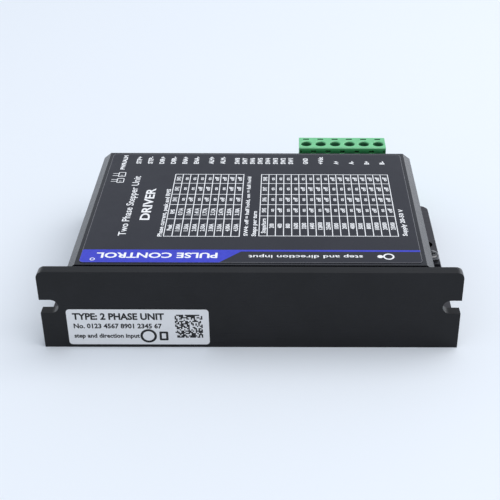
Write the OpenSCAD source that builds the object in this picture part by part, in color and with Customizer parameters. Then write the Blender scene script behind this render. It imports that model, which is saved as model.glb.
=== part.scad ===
// Two-phase stepper motor driver in a sheet-metal case on an L-shaped heat sink.
// Millimetres. +Z is up, +Y points to the connector side, and the origin is the centre of the
// underside of the heat sink's base plate.
// A pair such as [5.08, 3.81] holds the power series value, then the signal series value.

/* [Heat sink] */
// Width of the heat sink and its flange
sink_w = 118; // [118:0.5:122]
// Depth of the base plate, flange included
sink_d = 75.5; // [75.5:0.5:78]
// Thickness of the base plate
base_t = 4.2; // [4:0.1:4.2]
// Thickness of the upright flange
flange_t = 3.1; // [2.8:0.1:3.2]
// Height of the upright flange
flange_h = 25.5; // [25.5:0.5:28]
// Distance between the two mounting notches, and between the two ear holes
mount_pitch = 112; // [112:0.5:113]
// Width of each mounting notch
notch_w = 4.4; // [4.2:0.1:4.8]
// Height of the notches above the underside
notch_z = 14.05; // [13:0.05:15]
// Diameter of the mounting hole in each ear of the base plate
ear_hole_d = 3.6; // [3.2:0.1:3.8]
// Distance of the ear holes in front of the middle of the base plate
ear_hole_y = 12; // [11:0.05:14]

/* [Cover] */
// Width of the cover over its side walls
cover_w = 103.5; // [103.5:0.25:104]
// Thickness of the cover's sheet
cover_t = 1; // [0.8:0.1:1]
// Height of the cover's top above the underside
cover_top = 24.48; // [24.4:0.02:24.8]
// Gap between the flange and the cover
cover_gap = 2.35; // [1.6:0.05:2.6]
// Width of the bevel along each side of the cover's top
bevel_w = 2.4; // [2:0.1:3]
// Height of that bevel
bevel_h = 1.93; // [1.8:0.01:2.4]
// Thickness of both adhesive labels
label_t = 0.15; // [0.1:0.05:0.2]

/* [Circuit board] */
// Width of the board
board_w = 98; // [97:0.5:99]
// Depth of the board inside the case
board_d = 66.2; // [66:0.1:66.4]
// Thickness of the board
board_t = 1.6; // [1.5:0.1:1.6]
// Height of the rails that carry the board above the base plate
rail_h = 3.8; // [3.7:0.1:3.8]

/* [Terminals] */
// Distance between neighbouring poles
pitch = [5.08, 3.81];
// Middle of the power plug along X
power_x = 29.6; // [29.5:0.05:29.7]
// Middle of the signal plug along X
signal_x = -29.6; // [-29.7:0.05:-29.5]
// Middle of the alarm plug along X
alarm_x = -13.2; // [-13.3:0.05:-13.1]
// Distance that a clamp rises as its screw closes it
clamp_travel = [3, 2];

/* [Switches] */
// Distance between neighbouring switches
switch_pitch = 2.54; // [2.5:0.02:2.54]
// Middle of the row of switches along X
switch_x = 2.38; // [2.3:0.02:2.4]
// Distance that a slider travels from off to on
switch_travel = 1.9; // [1.6:0.1:1.9]

/* [Hidden] */
$fn = 48;
eps = 0.1;

// Counts, each with its own nodes in NODES
power_poles = 6;
signal_poles = 6;
alarm_poles = 2;
switches = 8;

// Heights and edges that the rest is built from
board_z = base_t + rail_h;
board_top = board_z + board_t;
flange_y = -sink_d / 2 + flange_t;
cover_y0 = flange_y + cover_gap;
cover_y1 = sink_d / 2;
board_y1 = cover_y1 - 2.15;

// Cover fixing screws, one on each ear; the left one stands nearer the flange
ear_screws = [[-56, -13], [56, 2.1]];
tab_w = 7;
tab_end = 58.6;

// Board rails and the screws on them
rail_w = 6;
rail_l = 100;
rail_y = [-26, 18];
board_screw_x = 45.5;
screw_r = 1.45;
tapped_r = 1.5;
screw_depth = 4;

// The board's tongue reaches out of the case under the power header
tongue_w = 31;
tongue_y1 = 47;

// Headers: POWER and SIGNAL index the pairs below
POWER = 0;
SIGNAL = 1;
header_d = [12, 9.2];
header_h = [8.6, 7.25];
header_front = [48.95, 37.95];
header_back_t = 2;
header_floor_t = [1, 0.8];
header_roof_t = [0.9, 0.8];
header_side_t = 0.7;
pin_w = [1, 0.8];
pin_back = 2.5;
pin_tail = 1.6;
play = 0.2;

// Plugs: a nose inside the header and a block with the clamps outside it
block_top = [21, 18.1];
block_h = [15, 11.1];
block_d = [8.8, 8];
nose_l = [9.4, 6.6];
key_w = 1.2;
key_h = 0.4;
screw_back = [3.45, 3.6];
screw_hole_r = [1.8, 1.3];
screw_hole_bevel = [0.3, 0.2];
head_r = [1.5, 1.1];
head_h = [1.5, 1.2];
head_z = [17.3, 15.3];
shank_r = [1.25, 0.95];
thread_play = 0.05;
shank_play = 0.15;
chamber_w = [4.1, 3.1];
chamber_d = [4.6, 3.8];
chamber_z0 = [7.2, 8];
chamber_z1 = [16.6, 14.7];
entry_w = [3.6, 2.7];
entry_z0 = [7.7, 8.3];
entry_z1 = [11.9, 11.3];
test_slot = [2.1, 0.8, 1.2];
test_slot_back = 1.8;

// Contacts and clamps
bar_top = [12.1, 11.5];
bar_t = [0.8, 0.6];
bar_w = [2, 1.6];
leaf_t = [0.45, 0.35];
clamp_w = [3.8, 2.8];
clamp_d = [4.2, 3.4];
clamp_wall = [0.5, 0.4];
clamp_floor_t = [0.8, 0.6];
clamp_roof_t = [1, 0.8];
clamp_play = 0.1;

// Slide switches
switch_body = [21.8, 5.55, 9.9];
switch_face = 36.55;
switch_z = 14.9;
switch_slot_w = 1.5;
slider_w = 1.2;
slider_h = 1.8;
slider_play = 0.1;
slider_out = 0.8;
slider_in = 1.6;

// Status lights
led_x = [-47.2, -43.6];
led_z = 13.6;
led_r = 1.5;

board_green = [0.05, 0.32, 0.16];
part_black = [0.1, 0.1, 0.11];
steel = [0.75, 0.76, 0.78];
plug_green = [0.36, 0.78, 0.5];

function pole_x(s, poles, middle, i) = middle + (i - (poles + 1) / 2) * pitch[s];
function block_y(s) = header_front[s] + play;
function screw_y(s) = block_y(s) + screw_back[s];
function switch_pos(i) = switch_x + ((switches + 1) / 2 - i) * switch_pitch;

// A plate with rounded corners that stands on z = 0
module rounded_plate(w, d, h, r) {
    linear_extrude(h)
        rounded_rect(w, d, r);
}

module rounded_rect(w, d, r) {
    square([w - 2 * r, d], center = true);
    square([w, d - 2 * r], center = true);
    for (x = [-1, 1], y = [-1, 1])
        translate([x * (w / 2 - r), y * (d / 2 - r)])
            circle(r);
}

// A box given by its lowest corner and its highest corner
module span(low, high) {
    translate(low)
        cube(high - low);
}

// ---- Case ----

// Base plate with round corners on the connector side, and square ones at the flange
module base_plate() {
    corner = 3;
    translate([0, corner / 2, 0])
        rounded_plate(sink_w, sink_d - corner, base_t, corner);
    span([-sink_w / 2, -sink_d / 2, 0], [sink_w / 2, 0, base_t]);
}

module flange() {
    corner = 2;
    translate([0, flange_y, 0])
        rotate([90, 0, 0])
            linear_extrude(flange_t) {
                translate([0, flange_h / 2])
                    rounded_rect(sink_w, flange_h, corner);
                translate([-sink_w / 2, 0])
                    square([sink_w, flange_h / 2]);
            }
}

// Notches run in from both ends of the flange
module mounting_notches() {
    for (side = [-1, 1]) {
        translate([side * mount_pitch / 2, 0, notch_z])
            rotate([90, 0, 0])
                cylinder(d = notch_w, h = sink_d);
        translate([side * (mount_pitch / 2 + sink_w / 4), -sink_d / 2, notch_z])
            cube([sink_w / 2, 2 * sink_d, notch_w], center = true);
    }
}

module heat_sink() {
    color([0.16, 0.16, 0.18])
        difference() {
            union() {
                base_plate();
                difference() {
                    flange();
                    intersection() {
                        mounting_notches();
                        span([-sink_w, -sink_d, base_t], [sink_w, flange_y + eps, flange_h]);
                    }
                }
                for (y = rail_y)
                    span([-rail_l / 2, y - rail_w / 2, base_t - eps], [rail_l / 2, y + rail_w / 2, board_z]);
            }
            for (at = ear_screws)
                translate([at[0], at[1], -eps])
                    cylinder(r = tapped_r, h = base_t + 2 * eps);
            for (side = [-1, 1]) {
                translate([side * mount_pitch / 2, ear_hole_y, -eps])
                    cylinder(d = ear_hole_d, h = base_t + 2 * eps);
                for (y = rail_y)
                    translate([side * board_screw_x, y, board_z - screw_depth])
                        cylinder(r = tapped_r, h = screw_depth + eps);
            }
        }
}

// Outline of the cover seen along Y, shrunk on every side by inset
module cover_outline(inset) {
    half = cover_w / 2 - inset;
    top = cover_top - inset;
    polygon([
        [-half, 0], [half, 0], [half, cover_top - bevel_h - inset],
        [half - bevel_w, top], [bevel_w - half, top], [-half, cover_top - bevel_h - inset]
    ]);
}

module cover_block(inset, y0, y1) {
    translate([0, y1, 0])
        rotate([90, 0, 0])
            linear_extrude(y1 - y0)
                cover_outline(inset);
}

// Stepped notch in the connector side, open at the bottom so that the cover lifts off
module connector_notch() {
    step_1 = switch_x - switch_body[0] / 2 - 0.25;
    step_2 = switch_x + switch_body[0] / 2 + 0.25;
    left = signal_x - signal_poles * pitch[SIGNAL] / 2 - 0.4;
    right = power_x + power_poles * pitch[POWER] / 2 + 0.4;
    signal_top = board_top + header_h[SIGNAL] + 0.3;
    switch_top = board_top + switch_body[2] + 0.3;
    power_top = board_top + header_h[POWER] + 0.3;
    translate([0, cover_y1 + eps, 0])
        rotate([90, 0, 0])
            linear_extrude(cover_t + 2 * eps)
                polygon([
                    [left, 0], [right, 0], [right, power_top], [step_2, power_top], [step_2, switch_top],
                    [step_1, switch_top], [step_1, signal_top], [left, signal_top]
                ]);
}

module top_cover() {
    color([0.2, 0.2, 0.22])
        difference() {
            union() {
                intersection() {
                    difference() {
                        cover_block(0, cover_y0, cover_y1);
                        cover_block(cover_t, cover_y0 + cover_t, cover_y1 - cover_t);
                    }
                    span([-cover_w, -sink_d, base_t], [cover_w, sink_d, cover_top]);
                }
                for (at = ear_screws)
                    span(
                        [at[0] > 0 ? cover_w / 2 - cover_t : -tab_end, at[1] - tab_w / 2, base_t],
                        [at[0] > 0 ? tab_end : cover_t - cover_w / 2, at[1] + tab_w / 2, base_t + cover_t]
                    );
            }
            connector_notch();
            for (at = ear_screws)
                translate([at[0], at[1], 0])
                    cylinder(r = tapped_r + 0.15, h = base_t + 2 * cover_t);
            for (x = led_x)
                translate([x, cover_y1 + eps, led_z])
                    rotate([90, 0, 0])
                        cylinder(r = led_r + 0.2, h = cover_t + 2 * eps);
        }
}

// Cross-recess pan-head screw, its head seated at z = 0
module pan_screw(pan_r, pan_h, length) {
    edge = 0.9;
    side_h = 0.4 * pan_h;
    recess = [1.07 * pan_r, 0.27 * pan_r, 0.6 * pan_h];
    difference() {
        union() {
            rotate_extrude()
                polygon([
                    [0, 0], [pan_r, 0], [pan_r, side_h],
                    for (a = [15:15:75]) [pan_r - edge + edge * cos(a), side_h + (pan_h - side_h) * sin(a)],
                    [0, pan_h]
                ]);
            translate([0, 0, -length])
                cylinder(r = screw_r, h = length + eps);
        }
        translate([0, 0, pan_h])
            for (turn = [0, 90])
                rotate([0, 0, turn + 20])
                    cube([recess[0], recess[1], 2 * recess[2]], center = true);
    }
}

// The same with a captive spring washer over a flat washer, the washers seated at z = 0
module sems_screw(length) {
    flat_r = 3.2;
    flat_t = 0.5;
    pan_r = 2.8;
    head_z0 = flat_t + 0.8;
    cylinder(r = flat_r, h = flat_t);
    cylinder(r = pan_r, h = head_z0);
    translate([0, 0, head_z0])
        pan_screw(pan_r, 2.2, length + head_z0);
}

// Plain screws on the ears and screws with washers on the board
module case_screws() {
    color(steel) {
        for (at = ear_screws)
            translate([at[0], at[1], base_t + cover_t])
                pan_screw(2.5, 1.8, base_t + cover_t - 0.4);
        for (side = [-1, 1], y = rail_y)
            translate([side * board_screw_x, y, board_top])
                sems_screw(board_t + screw_depth - 0.6);
    }
}

module thermal_pad() {
    color([0.55, 0.6, 0.68])
        translate([0, -4, base_t])
            rounded_plate(84, 30, 1.5, 1);
}

// Dark printed film over the flat of the cover's top
module top_label() {
    margin = 1.1;
    near_margin = 1;
    film_w = cover_w - 2 * (bevel_w + margin);
    film_d = cover_y1 - cover_y0 - near_margin - margin;
    color([0.24, 0.24, 0.27])
        translate([0, (cover_y0 + cover_y1 + near_margin - margin) / 2, cover_top])
            rounded_plate(film_w, film_d, label_t, 1.3);
}

// Silver rating film on the outer face of the flange
module rating_label() {
    color([0.78, 0.79, 0.81])
        translate([-31.9, -sink_d / 2, 7.1])
            rotate([90, 0, 0])
                rounded_plate(40, 12.1, label_t, 1);
}

// ---- Board and what is soldered to it ----

module circuit_board() {
    color(board_green)
        difference() {
            union() {
                span([-board_w / 2, board_y1 - board_d, board_z], [board_w / 2, board_y1, board_top]);
                span(
                    [power_x - tongue_w / 2, board_y1 - eps, board_z],
                    [power_x + tongue_w / 2, tongue_y1, board_top]
                );
            }
            for (side = [-1, 1], y = rail_y)
                translate([side * board_screw_x, y, board_z - eps])
                    cylinder(r = 1.7, h = board_t + 2 * eps);
            pin_set(POWER, power_poles, power_x, thread_play);
            pin_set(SIGNAL, signal_poles, signal_x, thread_play);
            pin_set(SIGNAL, alarm_poles, alarm_x, thread_play);
        }
}

// Flat power package, soldered under the board with its tab on the thermal pad
module output_transistor() {
    span([-3.3, -3.05, 0], [3.3, 3.05, 2.3]);
    span([-2.7, -4.3, 1.8], [2.7, -3, 2.3]);
    for (x = [-2.28, 0, 2.28])
        span([x - 0.35, 3, 1.2], [x + 0.35, 5.6, 2.3]);
}

module output_transistors() {
    color(part_black)
        for (i = [0:3], row = [-11, 4])
            translate([(i - 1.5) * 20, row, base_t + 1.5])
                output_transistor();
}

// Electrolytic can with a rolled groove above its rubber seal
module bulk_capacitor() {
    can_r = 5;
    can_h = 12.5;
    rotate_extrude()
        polygon([
            [0, 0], [can_r - 0.3, 0], [can_r, 0.3], [can_r, 1.6], [can_r - 0.45, 2], [can_r, 2.4],
            [can_r, can_h - 0.5], [can_r - 0.5, can_h], [can_r - 0.9, can_h], [can_r - 1, can_h - 0.2],
            [0, can_h - 0.2]
        ]);
}

module bulk_capacitors() {
    color([0.15, 0.17, 0.3])
        for (x = [22, 34])
            translate([x, -14, board_top])
                bulk_capacitor();
}

// Moulded chip with rows of leads on two sides or on all four
module chip(w, d, h, leads, lead_pitch, four_sides) {
    span([-w / 2, -d / 2, 0.1], [w / 2, d / 2, h]);
    for (turn = four_sides ? [0, 90, 180, 270] : [0, 180])
        rotate([0, 0, turn])
            for (i = [1:leads])
                translate([(i - (leads + 1) / 2) * lead_pitch, d / 2 + 0.4, 0.35])
                    cube([lead_pitch * 0.4, 1, 0.7], center = true);
}

module driver_chips() {
    color(part_black) {
        translate([-12, -8, board_top])
            chip(10, 10, 1.4, 10, 0.8, true);
        for (x = [4, 34])
            translate([x, 6, board_top])
                chip(10.3, 7.5, 2.3, 7, 1.27, false);
    }
}

module optocouplers() {
    color([0.13, 0.13, 0.14])
        for (i = [0:3])
            translate([-38 + i * 7.6, 7.5, board_top])
                chip(4.6, 6.5, 2.1, 2, 2.54, false);
}

module sense_resistors() {
    color([0.2, 0.2, 0.22])
        for (x = [16, 22])
            translate([x, 6, board_top + 0.35])
                cube([3.2, 6.4, 0.7], center = true);
}

module buck_inductor() {
    color([0.32, 0.32, 0.34])
        translate([-34, -14, board_top]) {
            rounded_plate(12, 12, 5.4, 2);
            cylinder(r = 4.6, h = 6);
        }
}

// Round light with a domed front, a collar and two leads bent down into the board
module status_led() {
    lens_y1 = 38;
    lens_y0 = 32.4;
    rotate([-90, 0, 0]) {
        translate([0, 0, lens_y0])
            cylinder(r = led_r, h = lens_y1 - led_r - lens_y0);
        translate([0, 0, lens_y0])
            cylinder(r = led_r + 0.2, h = 1);
        translate([0, 0, lens_y1 - led_r])
            intersection() {
                sphere(r = led_r);
                cylinder(r = led_r, h = led_r);
            }
    }
    for (side = [-1, 1]) {
        span([side * 1 - 0.22, 30.6, -0.25], [side * 1 + 0.22, lens_y0 + eps, 0.25]);
        span([side * 1 - 0.22, 30.6, board_top - led_z], [side * 1 + 0.22, 31.1, 0.25]);
    }
}

module status_leds() {
    color([0.7, 0.85, 0.7])
        for (x = led_x)
            translate([x, 0, led_z])
                status_led();
}

// ---- Slide switches ----

module switch_housing() {
    slot_h = slider_h + switch_travel + 2 * slider_play;
    color([0.72, 0.1, 0.1])
        difference() {
            span(
                [switch_x - switch_body[0] / 2, switch_face - switch_body[1], board_top],
                [switch_x + switch_body[0] / 2, switch_face, board_top + switch_body[2]]
            );
            for (i = [1:switches])
                span(
                    [switch_pos(i) - switch_slot_w / 2, switch_face - slider_in - 0.4, switch_z - slot_h / 2],
                    [switch_pos(i) + switch_slot_w / 2, switch_face + eps, switch_z + slot_h / 2]
                );
        }
}

// The sliders rest in the off position, at the bottom of their slots
module switch_slider(i) {
    z0 = switch_z - switch_travel / 2 - slider_h / 2;
    color("white")
        difference() {
            span(
                [switch_pos(i) - slider_w / 2, switch_face - slider_in, z0],
                [switch_pos(i) + slider_w / 2, switch_face + slider_out, z0 + slider_h]
            );
            for (level = [0.25, 0.5, 0.75])
                translate([switch_pos(i), switch_face + slider_out, z0 + level * slider_h])
                    rotate([45, 0, 0])
                        cube([2 * slider_w, 0.14, 0.14], center = true);
        }
}

// ---- Headers ----

module header(s, poles, middle) {
    half = poles * pitch[s] / 2 + play;
    y0 = header_front[s] - header_d[s];
    z1 = board_top + header_h[s];
    difference() {
        span([middle - half, y0, board_top], [middle + half, header_front[s], z1]);
        span(
            [middle - half + header_side_t, y0 + header_back_t, board_top + header_floor_t[s]],
            [middle + half - header_side_t, header_front[s] + eps, z1 - header_roof_t[s]]
        );
        for (i = [1:poles])
            translate([pole_x(s, poles, middle, i), header_front[s], z1 - header_roof_t[s] / 2])
                cube([key_w + 2 * play, 3, header_roof_t[s] + 2 * eps], center = true);
        pin_set(s, poles, middle, thread_play);
    }
}

// Bent square pins, grown by gap on every side when they are used to cut their own holes
module pin_set(s, poles, middle, gap) {
    back = header_front[s] - header_d[s] - pin_back;
    tip = header_front[s] - 2;
    half = pin_w[s] / 2 + gap;
    z0 = bar_top[s] + thread_play - gap;
    z1 = bar_top[s] + thread_play + pin_w[s] + gap;
    for (i = [1:poles])
        translate([pole_x(s, poles, middle, i), 0, 0]) {
            span([-half, back - half, z0], [half, tip, z1]);
            span([-half, back - half, board_z - pin_tail - gap], [half, back + half, z1]);
        }
}

module power_header() {
    color([0.2, 0.6, 0.35])
        header(POWER, power_poles, power_x);
}

module signal_headers() {
    color([0.2, 0.6, 0.35]) {
        header(SIGNAL, signal_poles, signal_x);
        header(SIGNAL, alarm_poles, alarm_x);
    }
}

module header_pins() {
    color([0.8, 0.78, 0.7]) {
        pin_set(POWER, power_poles, power_x, 0);
        pin_set(SIGNAL, signal_poles, signal_x, 0);
        pin_set(SIGNAL, alarm_poles, alarm_x, 0);
    }
}

// ---- Plugs ----

module plug_nose(s, poles, middle) {
    half = poles * pitch[s] / 2 - header_side_t;
    z0 = board_top + header_floor_t[s] + play;
    z1 = board_top + header_h[s] - header_roof_t[s] - play;
    y1 = block_y(s);
    span([middle - half, y1 - nose_l[s], z0], [middle + half, y1 + eps, z1]);
    for (i = [1:poles])
        span(
            [pole_x(s, poles, middle, i) - key_w / 2, y1 - 1.2, z1 - eps],
            [pole_x(s, poles, middle, i) + key_w / 2, y1 + eps, z1 + key_h]
        );
}

// The block is stepped on its outer side: the screw tower is set back from the wire entries
module plug_block(s, poles, middle) {
    half = poles * pitch[s] / 2;
    y0 = block_y(s);
    y1 = y0 + block_d[s];
    z0 = block_top[s] - block_h[s];
    edge = 0.6;
    translate([middle - half, 0, 0])
        rotate([90, 0, 90])
            linear_extrude(2 * half)
                polygon([
                    [y0, z0], [y1, z0], [y1, block_top[s] - edge], [y1 - edge, block_top[s]],
                    [y0 + edge / 2, block_top[s]], [y0, block_top[s] - edge / 2]
                ]);
}

module pole_cavities(s, x) {
    y0 = block_y(s);
    ys = screw_y(s);
    top = block_top[s];
    slot_half = bar_w[s] / 2 + 0.2;
    translate([x, ys, head_z[s] - clamp_play])
        cylinder(r = screw_hole_r[s], h = top);
    translate([x, ys, top - screw_hole_bevel[s]])
        cylinder(r1 = screw_hole_r[s], r2 = screw_hole_r[s] + screw_hole_bevel[s], h = screw_hole_bevel[s] + 0.001);
    translate([x, ys, chamber_z1[s] - eps])
        cylinder(r = shank_r[s] + shank_play, h = top - chamber_z1[s]);
    span(
        [x - chamber_w[s] / 2, ys - chamber_d[s] / 2, chamber_z0[s]],
        [x + chamber_w[s] / 2, ys + chamber_d[s] / 2, chamber_z1[s]]
    );
    span(
        [x - entry_w[s] / 2, ys, entry_z0[s]],
        [x + entry_w[s] / 2, y0 + block_d[s] + eps, entry_z1[s]]
    );
    span(
        [x - slot_half, y0 - nose_l[s] - eps, bar_top[s] - bar_t[s] - clamp_play],
        [x + slot_half, ys, bar_top[s] + thread_play + pin_w[s] + leaf_t[s] + 2 * clamp_play]
    );
    translate([x, y0 + block_d[s] - test_slot_back, top])
        cube([test_slot[0], test_slot[1], 2 * test_slot[2]], center = true);
}

// Pockets between the poles, high on the side that faces the header
module seam_pockets(s, poles, middle) {
    z1 = block_top[s] - 1.1;
    z0 = z1 - 1.2;
    half = poles * pitch[s] / 2 - 0.4;
    half_w = 0.9;
    depth = s == POWER ? 1.7 : 1.2;
    for (i = [0:poles]) {
        x = middle + (i - poles / 2) * pitch[s];
        span(
            [max(x - half_w, middle - half), block_y(s) - eps, z0],
            [min(x + half_w, middle + half), block_y(s) + depth, z1]
        );
    }
}

module plug(s, poles, middle) {
    difference() {
        union() {
            plug_nose(s, poles, middle);
            plug_block(s, poles, middle);
        }
        seam_pockets(s, poles, middle);
        for (i = [1:poles])
            pole_cavities(s, pole_x(s, poles, middle, i));
    }
}

// Fork that grips the pin, with a flat tail that runs on through the clamp
module contact(s, x) {
    y0 = block_y(s) - nose_l[s] + 0.5;
    web = header_front[s] - 1.4;
    tail = screw_y(s) + chamber_d[s] / 2 - 0.2;
    low = bar_top[s] - bar_t[s];
    high = bar_top[s] + 2 * thread_play + pin_w[s];
    translate([x - bar_w[s] / 2, 0, 0])
        rotate([90, 0, 90])
            linear_extrude(bar_w[s])
                polygon([
                    [y0, low], [tail, low], [tail, bar_top[s]], [web + leaf_t[s], bar_top[s]],
                    [web + leaf_t[s], high + leaf_t[s]], [y0, high + leaf_t[s]], [y0, high],
                    [web, high], [web, bar_top[s]], [y0, bar_top[s]]
                ]);
}

module contacts(s, poles, middle) {
    color([0.82, 0.72, 0.45])
        for (i = [1:poles])
            contact(s, pole_x(s, poles, middle, i));
}

// Slotted screw that turns in the plug and bears on the contact's tail
module clamp_screw(s, poles, middle, i) {
    slot = [4, 0.5, 1.4];
    z0 = bar_top[s] + thread_play;
    color(steel)
        translate([pole_x(s, poles, middle, i), screw_y(s), 0])
            difference() {
                union() {
                    translate([0, 0, z0])
                        cylinder(r = shank_r[s], h = head_z[s] - z0 + eps);
                    translate([0, 0, head_z[s]])
                        cylinder(r = head_r[s], h = head_h[s]);
                }
                translate([0, 0, head_z[s] + head_h[s]])
                    rotate([0, 0, 25 + 40 * i])
                        cube(slot, center = true);
            }
}

// Box clamp, drawn open: it rises along its screw and traps the wire under the contact's tail
module clamp(s, poles, middle, i) {
    window_z0 = bar_top[s] - bar_t[s] - clamp_travel[s] - clamp_play;
    window_z1 = bar_top[s] + clamp_play;
    half_w = clamp_w[s] / 2;
    half_d = clamp_d[s] / 2;
    color([0.78, 0.79, 0.8])
        translate([pole_x(s, poles, middle, i), screw_y(s), 0])
            difference() {
                span(
                    [-half_w, -half_d, window_z0 - clamp_floor_t[s]],
                    [half_w, half_d, window_z1 + clamp_roof_t[s]]
                );
                span(
                    [clamp_wall[s] - half_w, -half_d - eps, window_z0],
                    [half_w - clamp_wall[s], half_d + eps, window_z1]
                );
                translate([0, 0, window_z1 - eps])
                    cylinder(r = shank_r[s] + thread_play, h = clamp_roof_t[s] + 2 * eps);
            }
}

heat_sink();
top_cover();
case_screws();
thermal_pad();
circuit_board();
output_transistors();
bulk_capacitors();
driver_chips();
optocouplers();
sense_resistors();
buck_inductor();
status_leds();
switch_housing();
power_header();
signal_headers();
header_pins();
top_label();
rating_label();
color(plug_green) plug(POWER, power_poles, power_x);  // power_plug
contacts(POWER, power_poles, power_x);  // power_contacts
color(plug_green) plug(SIGNAL, signal_poles, signal_x);  // signal_plug
contacts(SIGNAL, signal_poles, signal_x);  // signal_contacts
color(plug_green) plug(SIGNAL, alarm_poles, alarm_x);  // alarm_plug
contacts(SIGNAL, alarm_poles, alarm_x);  // alarm_contacts
for (i = [1:switches])
    switch_slider(i);
for (i = [1:power_poles]) {
    clamp_screw(POWER, power_poles, power_x, i);
    clamp(POWER, power_poles, power_x, i);
}
for (i = [1:signal_poles]) {
    clamp_screw(SIGNAL, signal_poles, signal_x, i);
    clamp(SIGNAL, signal_poles, signal_x, i);
}
for (i = [1:alarm_poles]) {
    clamp_screw(SIGNAL, alarm_poles, alarm_x, i);
    clamp(SIGNAL, alarm_poles, alarm_x, i);
}
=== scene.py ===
"""Looks of a two-phase stepper motor driver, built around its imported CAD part.

The frame is the part's own: +Z up, +Y towards the connectors, and the origin at the centre of the
underside. Lengths written below are millimetres, and MM turns them into Blender's metres; those of
the lights, the camera and the floor are metres.
"""

import math
import random

import bmesh
import bpy
from mathutils import Matrix, Vector


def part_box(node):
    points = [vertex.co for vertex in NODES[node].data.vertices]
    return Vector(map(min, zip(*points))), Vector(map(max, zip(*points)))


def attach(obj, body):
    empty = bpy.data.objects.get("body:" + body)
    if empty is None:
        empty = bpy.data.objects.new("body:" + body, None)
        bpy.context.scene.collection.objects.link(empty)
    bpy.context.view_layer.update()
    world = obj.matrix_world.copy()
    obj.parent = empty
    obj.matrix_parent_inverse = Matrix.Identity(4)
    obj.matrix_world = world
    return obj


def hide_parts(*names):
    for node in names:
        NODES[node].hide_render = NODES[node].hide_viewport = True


MM = 0.001
QUARTER = math.pi / 2

# Pitch of the power poles, the signal poles and the switches.
POWER_PITCH = 5.08
SIGNAL_PITCH = 3.81
SWITCH_PITCH = 2.54

# Thickness of printed ink, width of a ruled line, and height of a capital in a font of size 1.
INK = 0.018
LINE = 0.25
CAP_HEIGHT = 0.729

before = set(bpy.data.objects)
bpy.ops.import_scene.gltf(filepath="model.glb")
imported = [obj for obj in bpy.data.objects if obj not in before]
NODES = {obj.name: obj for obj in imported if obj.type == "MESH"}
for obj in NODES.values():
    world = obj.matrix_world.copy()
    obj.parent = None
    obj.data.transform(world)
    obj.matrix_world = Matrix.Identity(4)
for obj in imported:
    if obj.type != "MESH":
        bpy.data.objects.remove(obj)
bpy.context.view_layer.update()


# ---------------------------------------------------------------- materials


class Finish:
    """A node material under construction, around one Principled shader."""

    def __init__(self, name, **sockets):
        self.material = bpy.data.materials.new(name)
        self.material.use_nodes = True
        self.tree = self.material.node_tree
        self.shader = self.tree.nodes["Principled BSDF"]
        for socket, value in sockets.items():
            self.shader.inputs[socket.replace("_", " ")].default_value = value
        self.place = self.add("ShaderNodeTexCoord").outputs["Object"]

    def add(self, kind, inputs=None, **settings):
        """A new node with its settings, and with each input linked to a socket or set to a value."""
        node = self.tree.nodes.new(kind)
        for name, value in settings.items():
            setattr(node, name, value)
        for name, value in (inputs or {}).items():
            if isinstance(value, bpy.types.NodeSocket):
                self.tree.links.new(value, node.inputs[name])
            else:
                node.inputs[name].default_value = value
        return node

    def drive(self, socket, value):
        self.tree.links.new(value, self.shader.inputs[socket])

    def stretched(self, scale):
        """The place on the object, scaled differently along X, Y and Z."""
        return self.add("ShaderNodeMapping", {"Vector": self.place, "Scale": scale}).outputs["Vector"]

    def noise(self, scale, detail=3.0, roughness=0.5, place=None):
        inputs = {"Vector": place or self.place, "Scale": scale, "Detail": detail, "Roughness": roughness}
        return self.add("ShaderNodeTexNoise", inputs).outputs["Fac"]

    def split(self, vector):
        """The X, Y and Z of a vector."""
        return self.add("ShaderNodeSeparateXYZ", {"Vector": vector}).outputs

    def facing(self):
        """The X, Y and Z of the face's own normal."""
        return self.split(self.add("ShaderNodeNewGeometry").outputs["True Normal"])

    def between(self, value, low, high, start=0.0, end=1.0):
        """A value clamped between low and high and carried over to the span from start to end."""
        inputs = {"Value": value, "From Min": low, "From Max": high, "To Min": start, "To Max": end}
        return self.add("ShaderNodeMapRange", inputs).outputs["Result"]

    def math(self, operation, first, second=0.0):
        return self.add("ShaderNodeMath", {0: first, 1: second}, operation=operation).outputs[0]

    def mix(self, factor, first, second):
        """The first colour at factor 0, the second at factor 1."""
        node = self.add("ShaderNodeMix", {0: factor, 6: opaque(first), 7: opaque(second)}, data_type="RGBA")
        return node.outputs[2]

    def bump(self, height, depth, strength=1.0):
        inputs = {"Height": height, "Distance": depth, "Strength": strength}
        return self.add("ShaderNodeBump", inputs).outputs["Normal"]

    def grain(self, size, depth):
        """Fine even texture with features of that size, raised by that depth."""
        self.drive("Normal", self.bump(self.noise(1 / size, 2.0), depth))

    def varied(self, dark, light, scale, rough_low, rough_high):
        """Colour and roughness that drift softly over the surface."""
        drift = self.noise(scale, 4.0, 0.6)
        self.drive("Base Color", self.mix(self.between(drift, 0.35, 0.65), dark, light))
        self.drive("Roughness", self.between(self.noise(scale * 3.1, 3.0), 0.3, 0.7, rough_low, rough_high))


def opaque(colour):
    """A colour with full alpha; a socket stays as it is."""
    if isinstance(colour, bpy.types.NodeSocket):
        return colour
    return (*colour, 1.0)


def dust(finish, colour, share, size, seed):
    """Adds pale specks of about that size to a colour, in that share of the cells of a pattern."""
    speck_colour = (0.55, 0.56, 0.58)
    speck_reach = 0.055
    cell_size = 9 * size
    shift = (seed, seed * 1.7, seed * 0.6)
    place = finish.add("ShaderNodeVectorMath", {0: finish.place, 1: shift}).outputs[0]
    cells = finish.add("ShaderNodeTexVoronoi", {"Vector": place, "Scale": 1 / cell_size}).outputs
    near = finish.math("LESS_THAN", cells["Distance"], speck_reach)
    draw = finish.add("ShaderNodeSeparateColor", {"Color": cells["Color"]}).outputs[0]
    speck = finish.math("MULTIPLY", near, finish.math("LESS_THAN", draw, share))
    return finish.mix(speck, colour, speck_colour)


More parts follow.
